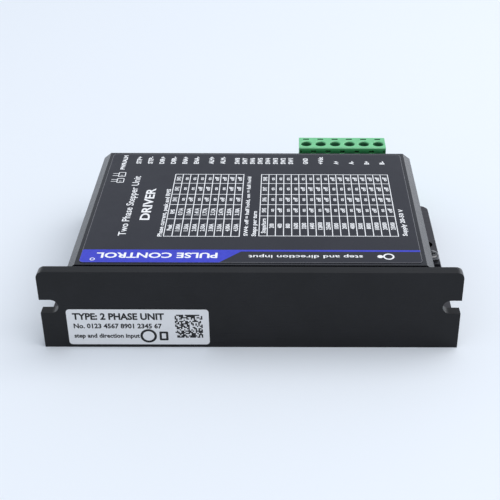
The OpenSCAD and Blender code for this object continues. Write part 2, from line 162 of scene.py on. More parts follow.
def anodised():
    """Black anodised extrusion: satin, with faint lines, a little dust and painted light that greys the
    upward faces of the wide leg.
    """
    leg_painted_light = (0.038, 0.037, 0.045)
    leg_low, leg_high = 6.5 * MM, 7.5 * MM
    finish = Finish("black_anodised_metal", Specular_IOR_Level=0.26)
    drift = finish.noise(90.0, 4.0, 0.6)
    colour = finish.mix(finish.between(drift, 0.35, 0.65), (0.0040, 0.0042, 0.0055), (0.0062, 0.0064, 0.0082))
    # Painted light: the upward faces of the wide leg are mixed towards a lighter grey, standing in for light
    # falling on them and lifting their shade beside the flange.
    on_leg = finish.between(finish.split(finish.place)["Z"], leg_high, leg_low)
    upward = finish.between(finish.facing()["Z"], 0.5, 0.9)
    colour = finish.mix(finish.math("MULTIPLY", on_leg, upward), colour, leg_painted_light)
    finish.drive("Base Color", dust(finish, colour, 0.08, 0.30 * MM, 3.1))
    lines = finish.noise(1.0, 3.0, 0.6, finish.stretched((45.0, 4200.0, 4200.0)))
    finish.drive("Roughness", finish.between(lines, 0.3, 0.7, 0.26, 0.38))
    relief = finish.math("ADD", lines, finish.noise(5200.0, 2.0))
    finish.drive("Normal", finish.bump(relief, 0.006 * MM, 0.8))
    return finish.material


def powder_coat():
    """Fine matt powder coat on the bent sheet, with the slight waviness of sprayed powder."""
    finish = Finish("cover_powder_coat", Specular_IOR_Level=0.42)
    finish.varied((0.009, 0.0095, 0.014), (0.013, 0.0138, 0.020), 120.0, 0.22, 0.29)
    height = finish.math("ADD", finish.noise(3800.0, 2.0), finish.noise(900.0, 2.0))
    finish.drive("Normal", finish.bump(height, 0.005 * MM, 0.7))
    return finish.material


def printed_film():
    """Dark matt film with a very fine embossed grain and a few specks of dust."""
    finish = Finish("dark_label_film", Specular_IOR_Level=0.39)
    drift = finish.noise(70.0, 4.0, 0.6)
    colour = finish.mix(finish.between(drift, 0.35, 0.65), (0.0078, 0.0085, 0.0170), (0.0105, 0.0113, 0.0205))
    finish.drive("Base Color", dust(finish, colour, 0.03, 0.24 * MM, 7.7))
    finish.drive("Roughness", finish.between(finish.noise(260.0, 3.0), 0.3, 0.7, 0.32, 0.40))
    finish.grain(0.16 * MM, 0.004 * MM)
    return finish.material


def ink(name, dark, light, rough=0.5):
    """Screen-printed ink: slightly uneven cover, matt."""
    finish = Finish(name, Specular_IOR_Level=0.35)
    finish.varied(dark, light, 700.0, rough - 0.05, rough + 0.06)
    finish.grain(0.12 * MM, 0.003 * MM)
    return finish.material


def silver_film():
    """Silver rating film with a brushed lustre."""
    finish = Finish("silver_rating_film", Metallic=0.15, Specular_IOR_Level=0.5)
    brushed = finish.noise(1.0, 4.0, 0.65, finish.stretched((260.0, 9000.0, 9000.0)))
    finish.drive("Base Color", finish.mix(brushed, (0.70, 0.70, 0.71), (0.79, 0.79, 0.80)))
    finish.drive("Roughness", finish.between(brushed, 0.3, 0.7, 0.40, 0.54))
    finish.drive("Normal", finish.bump(brushed, 0.002 * MM, 0.6))
    return finish.material


def plated(name, dark, light, rough_low, rough_high):
    """Plated metal with soft clouding and fine turning marks."""
    finish = Finish(name, Metallic=1.0)
    finish.varied(dark, light, 420.0, rough_low, rough_high)
    finish.grain(0.22 * MM, 0.005 * MM)
    return finish.material


def moulded(name, dark, light, rough, level=0.5, grain=0.20):
    """Moulded plastic: even colour with slight flow marks and a spark-eroded grain."""
    finish = Finish(name, Specular_IOR_Level=level)
    finish.varied(dark, light, 240.0, rough - 0.06, rough + 0.07)
    finish.grain(grain * MM, 0.008 * MM)
    return finish.material


def power_plug_green(dark, light):
    """The plug's green, with painted shade down the screw wells and test slots and on the wall that faces the
    case.
    """
    well_painted_shade = (0.004, 0.066, 0.024)
    wall_painted_shade = (0.012, 0.108, 0.041)
    well_radius = 2.1 * MM
    slot_inset = 1.8 * MM
    slot_half_length, slot_half_width = 1.3 * MM, 0.5 * MM
    finish = Finish("power_plug_green_plastic", Specular_IOR_Level=0.95)
    colour = finish.mix(finish.between(finish.noise(240.0, 4.0, 0.6), 0.35, 0.65), dark, light)
    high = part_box("power_plug")[1]
    axis = sum(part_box("power_screw_1"), Vector()) / 2
    half_pitch = POWER_PITCH * MM / 2
    x, y, z = finish.split(finish.place)
    from_axis = finish.math("SUBTRACT", x, axis.x)
    folded = finish.add("ShaderNodeMath", {0: from_axis, 1: half_pitch, 2: -half_pitch},
                        operation="WRAP").outputs[0]
    across = finish.math("POWER", finish.math("ABSOLUTE", folded), 2.0)
    from_row = finish.math("ABSOLUTE", finish.math("SUBTRACT", y, axis.y))
    along = finish.math("POWER", from_row, 2.0)
    in_well = finish.math("LESS_THAN", finish.math("ADD", across, along), well_radius ** 2)
    # Painted shade down each screw well, deepening with depth below the top.
    down_well = finish.between(z, high.z - 0.05 * MM, high.z - 1.3 * MM)
    # Painted shade just under the top edge of each test slot beside a pole.
    from_slot = finish.math("ABSOLUTE", finish.math("SUBTRACT", y, high.y - slot_inset))
    in_slot = finish.math("LESS_THAN", from_slot, slot_half_width)
    near_pole = finish.math("LESS_THAN", across, slot_half_length ** 2)
    down_slot = finish.between(z, high.z - 0.03 * MM, high.z - 0.16 * MM)
    slot = finish.math("MULTIPLY", finish.math("MULTIPLY", in_slot, near_pole), down_slot)
    inside = finish.math("MAXIMUM", finish.math("MULTIPLY", in_well, down_well), slot)
    # The wells and slots take the painted shade colour.
    colour = finish.mix(inside, colour, well_painted_shade)
    # Painted shade on the wall that faces the case, darker towards its foot.
    towards_case = finish.between(finish.facing()["Y"], -0.5, -0.9)
    depth = finish.between(z, high.z - 0.2 * MM, high.z - 1.5 * MM, 0.40, 1.0)
    colour = finish.mix(finish.math("MULTIPLY", towards_case, depth), colour, wall_painted_shade)
    finish.drive("Base Color", colour)
    finish.drive("Roughness", finish.between(finish.noise(744.0), 0.3, 0.7, 0.28, 0.41))
    finish.grain(0.20 * MM, 0.008 * MM)
    return finish.material


def laminate():
    """Solder mask over copper tracks, with the bare glass laminate showing on the cut edges."""
    finish = Finish("green_board_laminate", Specular_IOR_Level=0.55)
    tracks = finish.add("ShaderNodeTexVoronoi", {"Vector": finish.place, "Scale": 420.0},
                        feature="DISTANCE_TO_EDGE", distance="CHEBYCHEV")
    track = finish.between(tracks.outputs["Distance"], 0.16, 0.20)
    mask = finish.mix(track, (0.010, 0.105, 0.036), (0.020, 0.170, 0.062))
    flat = finish.between(finish.math("ABSOLUTE", finish.facing()["Z"]), 0.6, 0.8)
    fibres = finish.noise(1.0, 2.0, 0.5, finish.stretched((900.0, 900.0, 9000.0)))
    edge = finish.mix(fibres, (0.30, 0.33, 0.14), (0.46, 0.48, 0.22))
    finish.drive("Base Color", finish.mix(flat, edge, mask))
    finish.drive("Roughness", finish.between(finish.noise(600.0, 3.0), 0.3, 0.7, 0.22, 0.34))
    finish.drive("Normal", finish.bump(track, 0.020 * MM, 0.8))
    return finish.material


def resistor():
    """Sense resistor: black glaze in the middle and tinned ends, told apart by place along its length."""
    middle, half_glaze = 6 * MM, 2.5 * MM
    finish = Finish("glazed_resistor", Specular_IOR_Level=0.5)
    along = finish.split(finish.place)["Y"]
    from_middle = finish.math("ABSOLUTE", finish.math("SUBTRACT", along, middle))
    end = finish.math("GREATER_THAN", from_middle, half_glaze)
    cloud = finish.mix(finish.noise(1800.0), (0.018, 0.018, 0.020), (0.035, 0.035, 0.038))
    finish.drive("Base Color", finish.mix(end, cloud, (0.66, 0.66, 0.65)))
    finish.drive("Metallic", end)
    finish.drive("Roughness", finish.between(finish.noise(900.0), 0.3, 0.7, 0.28, 0.42))
    return finish.material


def led_resin():
    """Tinted clear resin: green for the power light and red for the alarm light beside it."""
    between_lights = -45.4 * MM
    finish = Finish("led_resin", Transmission_Weight=0.55, IOR=1.5, Roughness=0.12)
    second = finish.math("GREATER_THAN", finish.split(finish.place)["X"], between_lights)
    cloud = finish.between(finish.noise(500.0), 0.3, 0.7)
    green = finish.mix(cloud, (0.10, 0.62, 0.22), (0.16, 0.74, 0.30))
    red = finish.mix(cloud, (0.66, 0.06, 0.04), (0.78, 0.10, 0.07))
    finish.drive("Base Color", finish.mix(second, green, red))
    finish.grain(0.4 * MM, 0.002 * MM)
    return finish.material


# ---------------------------------------------------------------- CAD nodes


def mesh_group(name):
    """A geometry node group that takes a mesh and gives one back, with its input and output nodes."""
    group = bpy.data.node_groups.new(name, "GeometryNodeTree")
    group.interface.new_socket("Geometry", in_out="INPUT", socket_type="NodeSocketGeometry")
    group.interface.new_socket("Geometry", in_out="OUTPUT", socket_type="NodeSocketGeometry")
    return group, group.nodes.new("NodeGroupInput"), group.nodes.new("NodeGroupOutput")


def weld_nodes():
    """Geometry nodes that join the imported face corners and drop their stored normals."""
    group, start, end = mesh_group("weld_faces")
    merge = group.nodes.new("GeometryNodeMergeByDistance")
    merge.inputs["Distance"].default_value = 0.0005 * MM
    normal = group.nodes.new("GeometryNodeSetMeshNormal")
    group.links.new(start.outputs[0], merge.inputs["Geometry"])
    group.links.new(merge.outputs["Geometry"], normal.inputs["Mesh"])
    group.links.new(normal.outputs["Mesh"], end.inputs[0])
    return group


def smooth_nodes(angle):
    """Geometry nodes that shade smooth across every edge flatter than the angle."""
    group, start, end = mesh_group("smooth_by_angle")
    fold = group.nodes.new("GeometryNodeInputMeshEdgeAngle")
    sharp = group.nodes.new("FunctionNodeCompare")
    sharp.operation = "GREATER_THAN"
    sharp.inputs[1].default_value = angle
    normal = group.nodes.new("GeometryNodeSetMeshNormal")
    group.links.new(fold.outputs["Unsigned Angle"], sharp.inputs[0])
    group.links.new(start.outputs[0], normal.inputs["Mesh"])
    group.links.new(sharp.outputs["Result"], normal.inputs["Edge Sharpness"])
    group.links.new(normal.outputs["Mesh"], end.inputs[0])
    return group


WELD = weld_nodes()
SMOOTH = smooth_nodes(math.radians(38))


def soften(obj, width):
    """Rounds the edges of an object and shades its flat faces flat."""
    bevel = obj.modifiers.new("edges", "BEVEL")
    bevel.width = width
    bevel.segments = 2
    bevel.limit_method = "ANGLE"
    bevel.angle_limit = math.radians(32)
    bevel.use_clamp_overlap = True
    smooth = obj.modifiers.new("smooth", "NODES")
    smooth.node_group = SMOOTH
    weigh = obj.modifiers.new("flat_faces", "WEIGHTED_NORMAL")
    weigh.keep_sharp = True
    weigh.weight = 100


def dress(node, material, width):
    """Gives a CAD node its finish, with rounded edges of that width in millimetres."""
    obj = NODES[node]
    obj.material_slots[0].material = material
    weld = obj.modifiers.new("weld", "NODES")
    weld.node_group = WELD
    flatten = obj.modifiers.new("flatten", "DECIMATE")
    flatten.decimate_type = "DISSOLVE"
    flatten.angle_limit = math.radians(0.6)
    soften(obj, width * MM)


def dress_all():
    """Gives every CAD node its finish and the width of its rounded edges."""
    steel = plated("plated_steel_metal", (0.40, 0.40, 0.40), (0.52, 0.52, 0.52), 0.12, 0.20)
    clamp = plated("nickel_clamp_metal", (0.56, 0.55, 0.52), (0.70, 0.69, 0.66), 0.24, 0.36)
    tin = plated("tinned_contact_metal", (0.62, 0.58, 0.46), (0.74, 0.71, 0.62), 0.26, 0.38)
    epoxy = moulded("chip_epoxy_plastic", (0.014, 0.014, 0.015), (0.022, 0.022, 0.023), 0.48, 0.45)
    header = moulded("header_green_plastic", (0.040, 0.330, 0.105), (0.055, 0.390, 0.130), 0.40)
    plug_greens = (0.136, 0.534, 0.236), (0.156, 0.589, 0.261)
    plug = moulded("plug_green_plastic", *plug_greens, 0.34, 0.95)
    slider = moulded("slider_white_plastic", (0.74, 0.74, 0.71), (0.82, 0.82, 0.79), 0.36)
    pad = moulded("silicone_pad_rubber", (0.30, 0.35, 0.43), (0.36, 0.41, 0.50), 0.7, 0.3)
    sleeve = moulded("capacitor_sleeve", (0.020, 0.024, 0.075), (0.030, 0.034, 0.095), 0.26)
    ferrite = moulded("ferrite_core", (0.045, 0.045, 0.048), (0.075, 0.075, 0.078), 0.6, 0.4, 0.3)
    switch_red = moulded("switch_red_plastic", (0.34, 0.012, 0.014), (0.42, 0.018, 0.020), 0.36)
    finishes = {
        "heat_sink": (anodised(), 0.22),
        "top_cover": (powder_coat(), 0.16),
        "thermal_pad": (pad, 0.1),
        "circuit_board": (laminate(), 0.05),
        "output_transistors": (epoxy, 0.1),
        "bulk_capacitors": (sleeve, 0.1),
        "driver_chips": (epoxy, 0.06),
        "optocouplers": (epoxy, 0.06),
        "sense_resistors": (resistor(), 0.06),
        "buck_inductor": (ferrite, 0.15),
        "status_leds": (led_resin(), 0.04),
        "switch_housing": (switch_red, 0.1),
        "power_header": (header, 0.12),
        "signal_headers": (header, 0.12),
        "header_pins": (tin, 0.08),
        "top_label": (printed_film(), 0.03),
        "rating_label": (silver_film(), 0.03),
    }
    for plug_name in ("power_plug", "signal_plug", "alarm_plug"):
        finishes[plug_name] = (plug, 0.14)
        finishes[plug_name.replace("plug", "contacts")] = (tin, 0.05)
    finishes["power_plug"] = (power_plug_green(*plug_greens), 0.14)
    for node in NODES:
        if "slider" in node:
            finishes[node] = (slider, 0.08)
        elif "_clamp_" in node:
            finishes[node] = (clamp, 0.08)
        elif "_screw_" in node:
            finishes[node] = (steel, 0.08)
    for node, (material, width) in finishes.items():
        dress(node, material, width)


# ---------------------------------------------------------------- new pieces


def piece(name, mesh, material, body="chassis"):
    """A new piece that rides on a body, with the finish it is given."""
    obj = bpy.data.objects.new(name, mesh)
    bpy.context.scene.collection.objects.link(obj)
    mesh.materials.clear()
    mesh.materials.append(material)
    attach(obj, body)
    return obj


def mesh_from(bm, name):
    """The mesh of a bmesh with its faces turned outward; the bmesh is used up."""
    bmesh.ops.recalc_face_normals(bm, faces=bm.faces)
    mesh = bpy.data.meshes.new(name)
    bm.to_mesh(mesh)
    bm.free()
    return mesh


def lathe(bm, profile, steps, place):
    """Adds a solid turned about Z from a closed outline of (radius, height) points."""
    rings = []
    for step in range(steps):
        turn = Matrix.Rotation(2 * math.pi * step / steps, 4, "Z")
        rings.append([bm.verts.new(place @ (turn @ Vector((r, 0, z)))) for r, z in profile])
    for step in range(steps):
        here, there = rings[step], rings[(step + 1) % steps]
        for i in range(len(profile)):
            j = (i + 1) % len(profile)
            bm.faces.new((here[i], there[i], there[j], here[j]))


def spring_washer(bm, inner, outer, thick, place):
    """A split ring whose two ends stand apart in height across an oblique gap."""
    steps = 56
    gap = math.radians(16)
    skew = math.radians(7)
    rise = thick * 0.35
    corners = [(inner, 0), (outer, 0), (outer, thick), (inner, thick)]
    rings = []
    for step in range(steps + 1):
        share = step / steps
        angle = gap / 2 + (2 * math.pi - gap) * share
        lift = rise * share
        ring = []
        for radius, height in corners:
            lean = skew * (height / thick - 0.5)
            turn = Matrix.Rotation(angle + lean, 4, "Z")
            ring.append(bm.verts.new(place @ (turn @ Vector((radius, 0, height + lift)))))
        rings.append(ring)
    for here, there in zip(rings, rings[1:]):
        for i in range(4):
            j = (i + 1) % 4
            bm.faces.new((here[i], there[i], there[j], here[j]))
    bm.faces.new(rings[0])
    bm.faces.new(rings[-1][::-1])


def pan_head_profile(radius, low, high, shank, bottom):
    """Outline of a pan-head screw, from the tip of its shank to the crown of its head."""
    axis = 0.02
    point = 0.3
    crown_r = 0.85
    flat_r = 0.9
    rim = 0.42
    crown = []
    for degrees in range(0, 90, 15):
        angle = math.radians(degrees)
        height = rim + (1 - rim) * math.sin(angle)
        crown.append((radius - crown_r + crown_r * math.cos(angle), low + (high - low) * height))
    tip = [(axis, bottom), (shank - point, bottom), (shank, bottom + point), (shank, low), (radius, low)]
    return tip + crown + [(flat_r, high - 0.02), (axis, high)]


def cross_cutter(top, depth, scale, turn):
    """Two crossed wedges that cut a cross recess of that depth below top."""
    wide = [(-1.75, -0.50), (1.75, -0.50), (1.75, 0.50), (-1.75, 0.50)]
    slim = [(-0.60, -0.28), (0.60, -0.28), (0.60, 0.28), (-0.60, 0.28)]
    above = 0.4
    bm = bmesh.new()
    for extra in (0, QUARTER):
        spin = Matrix.Rotation(turn + extra, 4, "Z") @ Matrix.Scale(scale, 4)
        upper, lower = (
            [bm.verts.new((spin @ Vector((x, y, 0))) + Vector((0, 0, height))) for x, y in outline]
            for outline, height in ((wide, top + above), (slim, top - depth)))
        bm.faces.new(upper)
        bm.faces.new(lower[::-1])
        for i in range(4):
            j = (i + 1) % 4
            bm.faces.new((upper[i], lower[i], lower[j], upper[j]))
    return mesh_from(bm, "cross_cutter")


def evaluated_mesh(obj):
    """A new mesh of the object with its modifiers applied."""
    graph = bpy.context.evaluated_depsgraph_get()
    return bpy.data.meshes.new_from_object(obj.evaluated_get(graph))


def add_screw(whole, place, radius, height, seat, tip, turn):
    """Adds a turned pan-head screw with its cross recess cut out."""
    shank = 1.45
    axis_weld = 0.06
    recess_r = 2.8
    top = seat + height
    bm = bmesh.new()
    lathe(bm, pan_head_profile(radius, seat, top, shank, tip), 64, Matrix.Identity(4))
    bmesh.ops.remove_doubles(bm, verts=bm.verts, dist=axis_weld)
    blank = bpy.data.objects.new("screw_blank", mesh_from(bm, "screw_blank"))
    cutter = bpy.data.objects.new("recess_cutter", cross_cutter(top, 0.62 * height, radius / recess_r, turn))
    for obj in (blank, cutter):
        bpy.context.scene.collection.objects.link(obj)
    cut = blank.modifiers.new("recess", "BOOLEAN")
    cut.operation = "DIFFERENCE"
    cut.solver = "EXACT"
    cut.use_self = True
    cut.object = cutter
    bpy.context.view_layer.update()
    mesh = evaluated_mesh(blank)
    for obj in (blank, cutter):
        bpy.data.objects.remove(obj)
    mesh.transform(place)
    whole.from_mesh(mesh)


def case_screws():
    """Two plain cross-recess screws on the ears, and four on the board over a split and a flat washer."""
    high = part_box("case_screws")[1]
    bore = 1.6
    washer_r, flat_t, chamfer = 3.2, 0.5, 0.08
    spring_t, squeeze = 0.8, 0.72
    pan_r, pan_h = 2.8, 2.2
    ear_r, ear_h = 2.5, 1.8
    ear_tip, board_tip = -4.8, -5.0
    ear_x = high.x / MM - ear_r
    seat_ear = 5.2
    seat_board = high.z / MM - pan_h - spring_t - flat_t
    whole = bmesh.new()
    for turn, (x, y) in enumerate(((-ear_x, -13.0), (ear_x, 2.1))):
        place = Matrix.Translation((x, y, seat_ear))
        add_screw(whole, place, ear_r, ear_h, 0.0, ear_tip, 0.55 + turn)
    flat_washer = [(bore, 0.0), (washer_r - chamfer, 0.0), (washer_r, chamfer), (washer_r, flat_t - chamfer),
                   (washer_r - chamfer, flat_t), (bore, flat_t)]
    places = [(side * 45.5, y) for side in (-1, 1) for y in (-26.0, 18.0)]
    for turn, (x, y) in enumerate(places):
        place = Matrix.Translation((x, y, seat_board))
        lathe(whole, flat_washer, 64, place)
        spin = Matrix.Translation((0, 0, flat_t)) @ Matrix.Rotation(0.9 + 1.3 * turn, 4, "Z")
        spring_washer(whole, bore, pan_r, spring_t * squeeze, place @ spin)
        add_screw(whole, place, pan_r, pan_h, flat_t + spring_t, board_tip, 0.35 + 0.8 * turn)
    bmesh.ops.scale(whole, vec=(MM, MM, MM), verts=whole.verts)
    dark_nickel = plated("dark_nickel_metal", (0.10, 0.10, 0.105), (0.16, 0.16, 0.165), 0.08, 0.14)
    obj = piece("case_screw_set", mesh_from(whole, "case_screw_set"), dark_nickel)
    soften(obj, 0.05 * MM)
    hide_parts("case_screws")


class Print:
    """Flat printed marks, gathered in millimetres on a sheet and raised into thin closed solids."""

    def __init__(self, name):
        self.name = name
        self.bm = bmesh.new()

    def slab(self, faces, height):
        """Adds polygons that share corners, raised together into one closed slab."""
        part = bmesh.new()
        seen = {}
        for face in faces:
            corners = []
            for x, y in face:
                key = (round(x, 5), round(y, 5))
                if key not in seen:
                    seen[key] = part.verts.new((x, y, 0.0))
                corners.append(seen[key])
            part.faces.new(corners)
        raised = bmesh.ops.extrude_face_region(part, geom=list(part.faces), use_keep_orig=True)
        tops = [v for v in raised["geom"] if isinstance(v, bmesh.types.BMVert)]
        bmesh.ops.translate(part, vec=(0, 0, height), verts=tops)
        self.take(mesh_from(part, "part"))

    def take(self, mesh):
        """Adds a mesh to the sheet and throws the mesh away."""
        self.bm.from_mesh(mesh)
        bpy.data.meshes.remove(mesh)

    def box(self, x0, y0, x1, y1, height):
        """A rectangle between two opposite corners."""
        self.slab([[(x0, y0), (x1, y0), (x1, y1), (x0, y1)]], height)

    def lattice(self, xs, ys, width, height):
        """Ruled lines of a table at those places, as one slab without overlaps."""
        across, along = ([line + side * width / 2 for line in lines for side in (-1, 1)]
                         for lines in (xs, ys))
        faces = []
        for i in range(len(across) - 1):
            for j in range(len(along) - 1):
                if i % 2 == 0 or j % 2 == 0:
                    faces.append([(across[i], along[j]), (across[i + 1], along[j]),
                                  (across[i + 1], along[j + 1]), (across[i], along[j + 1])])
        self.slab(faces, height)

    def band(self, outer, inner, height):
        """The strip between two outlines that have the same number of points."""
        count = len(outer)
        faces = [[outer[i], outer[(i + 1) % count], inner[(i + 1) % count], inner[i]] for i in range(count)]
        self.slab(faces, height)

    def text(self, words, start, length, cap, turn=0.0, weight=0.024, fineness=2, height=INK):
        """Words from start along the turned direction, fitted to a length, with capitals cap high."""
        outline, low, high = letter_shapes(words, weight, fineness)
        stretch = length / (high - low)
        rise = cap / CAP_HEIGHT
        put = Matrix.Translation((start[0], start[1], 0)) @ Matrix.Rotation(turn, 4, "Z")
        size = Matrix.Diagonal((stretch, rise, height, 1))
        mesh = outline.copy()
        mesh.transform(put @ size @ Matrix.Translation((-low, 0, 0.5)))
        self.take(mesh)

    def finish(self, material, slot, to_part):
        """Places the sheet on the part and makes it one piece."""
        bmesh.ops.transform(self.bm, matrix=to_part @ Matrix.Scale(MM, 4), verts=self.bm.verts)
        mesh = bpy.data.meshes.new(self.name)
        self.bm.to_mesh(mesh)
        self.bm.free()
        piece(self.name, mesh, material)


LETTERS = {}  # raised words made so far, by their wording, weight and fineness


def letter_shapes(words, weight, fineness):
    """Raised words at size 1 with a thickness of 1, and their ends along the line, kept for reuse."""
    key = (words, weight, fineness)
    if key not in LETTERS:
        curve = bpy.data.curves.new("words", "FONT")
        curve.body = words
        curve.resolution_u = fineness
        curve.extrude = 0.5
        curve.fill_mode = "BOTH"
        obj = bpy.data.objects.new("words", curve)
        bpy.context.scene.collection.objects.link(obj)
        bpy.context.view_layer.update()
        mesh = evaluated_mesh(obj)
        bpy.data.objects.remove(obj)
        bpy.data.curves.remove(curve)
        bm = bmesh.new()
        bm.from_mesh(mesh)
        bmesh.ops.remove_doubles(bm, verts=bm.verts, dist=0.0005)
        bmesh.ops.recalc_face_normals(bm, faces=bm.faces)
        thicken(bm, weight)
        bm.to_mesh(mesh)
        bm.free()
        ends = [v.co.x for v in mesh.vertices]
        LETTERS[key] = (mesh, min(ends), max(ends))
    return LETTERS[key]


def thicken(bm, amount):
    """Moves the walls of upright letters outward by an amount and keeps their corners mitred."""
    moves = []
    for vert in bm.verts:
        upright = [face.normal for face in vert.link_faces if abs(face.normal.z) < 0.1]
        walls = [Vector(wall) for wall in sorted({tuple(round(c, 3) for c in normal) for normal in upright})]
        away = sum(walls, Vector())
        if len(walls) == 2:
            away /= max(1 + walls[0].dot(walls[1]), 0.3)
        moves.append(away * amount)
    for vert, move in zip(bm.verts, moves):
        vert.co += move


def rounded_outline(x0, y0, x1, y1, radius, steps=6):
    """Points of a rectangle with rounded corners."""
    points = []
    middles = [(x1 - radius, y0 + radius, -90), (x1 - radius, y1 - radius, 0),
               (x0 + radius, y1 - radius, 90), (x0 + radius, y0 + radius, 180)]
    for cx, cy, first in middles:
        for step in range(steps + 1):
            a = math.radians(first + 90 * step / steps)
            points.append((cx + radius * math.cos(a), cy + radius * math.sin(a)))
    return points


def circle(x, y, radius, steps=28):
    """Points of a circle."""
    angles = [2 * math.pi * step / steps for step in range(steps)]
    return [(x + radius * math.cos(a), y + radius * math.sin(a)) for a in angles]


def on_off(setting, bit):
    """Where the switch of that bit stands for a setting."""
    return "off" if setting >> bit & 1 else "on"


def top_print():
    """White print on the top film: title, two tables, notes and the marks of the terminals and switches."""
    white = Print("label_print")
    white.text("Two Phase Stepper Unit", (-37.15, -16.8), 37.3, 2.35, QUARTER, 0.008, 3)
    white.text("DRIVER", (-31.35, -7.65), 19.8, 2.95, QUARTER, 0.022, 3)
    white.text("Phase current, peak and RMS", (-26.55, -17.2), 29.0, 1.35, QUARTER)
    white.text("SW4: off = half hold, on = full hold", (-1.5, -16.8), 37.1, 1.2, QUARTER)
    white.text("Steps per turn", (0.95, -17.0), 14.8, 1.35, QUARTER)
    white.text("Supply 20-50 V", (45.4, -16.6), 15.8, 1.4, QUARTER)
    current_table(white)
    step_table(white)
    terminal_marks(white)
    light_icons(white)
    white.text("step and direction input", (31.6, -27.35), 32.4, 1.65, math.pi, 0.012)
    white.band(circle(38.9, -27.95, 1.6), circle(38.9, -27.95, 1.12), INK)
    white.slab([circle(36.5, -27.95, 0.8)], INK)
    return white


def rows_of_text(sheet, columns, rows, texts, cap, share):
    """Writes texts[column][row] in the middle of each cell, reading towards +Y."""
    per_letter = 0.86
    for column, column_texts in enumerate(texts):
        middle = (columns[column] + columns[column + 1]) / 2
        for row, words in enumerate(column_texts):
            low, high = rows[row], rows[row + 1]
            length = min((high - low) * share, per_letter * len(words))
            start = (middle + cap / 2, (low + high - length) / 2)
            sheet.text(words, start, length, cap, QUARTER)


def current_table(white):
    """Peak and RMS current against the first three switches."""
    columns = [-26.0 + 2.456 * i for i in range(10)]
    rows = [-17.1, -6.95, 1.8, 8.4, 15.7, 21.9]
    white.lattice(columns, rows, LINE, INK)
    texts = [["Peak", "RMS", "SW1", "SW2", "SW3"]]
    for setting in range(8):
        peak = 1.0 + 0.5 * setting
        currents = [f"{peak:.2f}A", f"{peak / math.sqrt(2):.2f}A"]
        texts.append(currents + [on_off(setting, bit) for bit in range(3)])
    rows_of_text(white, columns, rows, texts, 1.35, 0.78)


def step_table(white):
    """Steps per turn against the last four switches."""
    columns = [1.85 + 2.406 * i for i in range(18)]
    rows = [-16.8, -5.1, 1.9, 8.4, 15.7, 21.9]
    white.lattice(columns, rows, LINE, INK)
    texts = [["Steps/turn", "SW5", "SW6", "SW7", "SW8"]]
    counts = [200 * 2 ** i for i in range(8)] + [1000 * i for i in (1, 2, 4, 5, 8, 10, 20, 25)]
    for setting, steps in enumerate(counts):
        texts.append([str(steps)] + [on_off(setting, bit) for bit in range(4)])
    rows_of_text(white, columns, rows, texts, 1.35, 0.80)


def terminal_marks(white):
    """Marks in line with the poles and the switches, just inside the connector side."""
    rows = [(-39.12, SIGNAL_PITCH, ("STP+", "STP-", "DIR+", "DIR-", "ENA+", "ENA-")),
            (-15.1, 3.8, ("ALM+", "ALM-")),
            (-6.51, SWITCH_PITCH, [f"SW{8 - i}" for i in range(8)]),
            (16.18, POWER_PITCH, ("GND", "+Vdc", "A+", "A-", "B+", "B-"))]
    lengths = {2: 2.2, 3: 4.4, 4: 5.2}
    cap = 1.6
    for first, pitch, words in rows:
        for i, word in enumerate(words):
            start = (first + pitch * i + cap / 2, 29.4)
            white.text(word, start, lengths[len(word)], cap, QUARTER, 0.03)


def light_icons(white):
    """Two outlined lamps with their legs, beside the marks of the status lights."""
    x0, x1 = -44.6, -42.2
    rim = 0.28
    for y0, y1 in ((16.0, 19.0), (20.0, 23.2)):
        outer = rounded_outline(x0, y0, x1, y1, 0.5, 3)
        inner = rounded_outline(x0 + rim, y0 + rim, x1 - rim, y1 - rim, 0.25, 3)
        white.band(outer, inner, INK)
        white.box(x0 + 0.8, y0 + 0.9, x1 - 0.8, y0 + 1.2, INK)
        for y in (y0 + 0.75, y1 - 1.0):
            white.box(x0 - 1.8, y, x0 - 0.05, y + 0.24, INK)
    white.text("PWR/ALM", (-43.2, 25.2), 10.2, 1.4, QUARTER, 0.034)


def top_frame(low, high):
    """Thin pale line that follows the edge of the top film, whose corners are (x, y) pairs."""
    line = Print("label_outline")
    corner_r = 1.3
    outlines = [rounded_outline(low[0] + inset, low[1] + inset, high[0] - inset, high[1] - inset,
                                corner_r - inset) for inset in (0.06, 0.16)]
    line.band(*outlines, 0.008)
    return line


def stripe():
    """Blue stripe that narrows to a thin line past its slanted end."""
    blue = Print("label_stripe")
    left, near, far = -48.15, -31.2, -24.5
    radius, cut = 1.2, 0.4
    angles = [math.radians(degrees) for degrees in range(90, -1, -15)]
    corner = [(left + radius - radius * math.sin(a), near + radius - radius * math.cos(a)) for a in angles]
    line_low, end = -25.4, 48.1
    shape = corner + [(-9.0, near), (-3.0, line_low), (end, line_low), (end, far), (left + cut, far),
                      (left, far - cut)]
    blue.slab([shape], 0.010)
    return blue


def stripe_words():
    """White words and a round mark on the stripe, upside down as the rest of the near edge."""
    words = Print("stripe_words")
    height = 0.022
    words.text("PULSE CONTROL", (-9.6, -26.25), 34.2, 2.75, math.pi, 0.026, 3, height)
    words.band(circle(-44.65, -29.6, 0.72, 20), circle(-44.65, -29.6, 0.48, 20), height)
    return words


def rating_print():
    """Black print on the silver film: three lines, a plain mark and a block pattern."""
    black = Print("rating_print")
    black.text("TYPE: 2 PHASE UNIT", (-50.25, 9.75), 25.8, 2.2, 0.0, 0.038, 3)
    black.text("No. 0123 4567 8901 2345 67", (-50.15, 6.75), 24.9, 1.6, 0.0, 0.034)
    black.text("step and direction input", (-50.3, 3.45), 18.6, 1.45, 0.0, 0.034)
    black.band(circle(-29.2, 4.05, 2.35, 40), circle(-29.2, 4.05, 1.65, 40), INK)
    outer = rounded_outline(-26.1, 2.5, -23.6, 5.6, 0.3, 3)
    inner = rounded_outline(-25.45, 3.15, -24.25, 4.95, 0.15, 3)
    black.band(outer, inner, INK)
    block_pattern(black)
    return black


